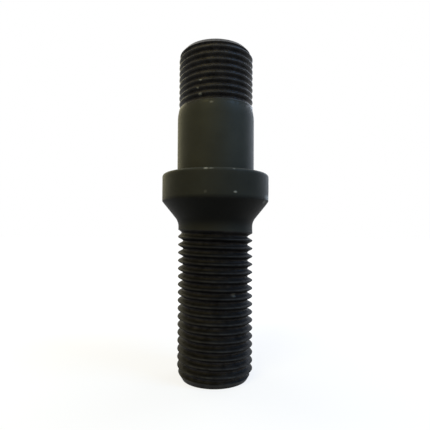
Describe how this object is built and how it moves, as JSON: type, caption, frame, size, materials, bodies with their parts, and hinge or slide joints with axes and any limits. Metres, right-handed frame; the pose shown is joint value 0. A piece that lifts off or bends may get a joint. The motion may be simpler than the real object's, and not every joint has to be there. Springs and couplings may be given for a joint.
{
  "type": "wheel stud",
  "caption": "Black steel wheel stud with a plain shank, a collar that seats on the hub, and a screw thread on each end.",
  "frame": {"origin": "centre of the flat wheel end face, on which the stud stands", "axes": "+Z along the stud's axis, from the wheel end face up to the hub end; +X and +Y across it"},
  "size_m": [0.0314, 0.0312, 0.0955],
  "materials": {
    "black_steel": "black oxide on steel, satin, slightly oily, brighter on worn edges and thread crests"
  },
  "bodies": {
    "root": {"wheel_stud": "black_steel"}
  },
  "joints": []
}
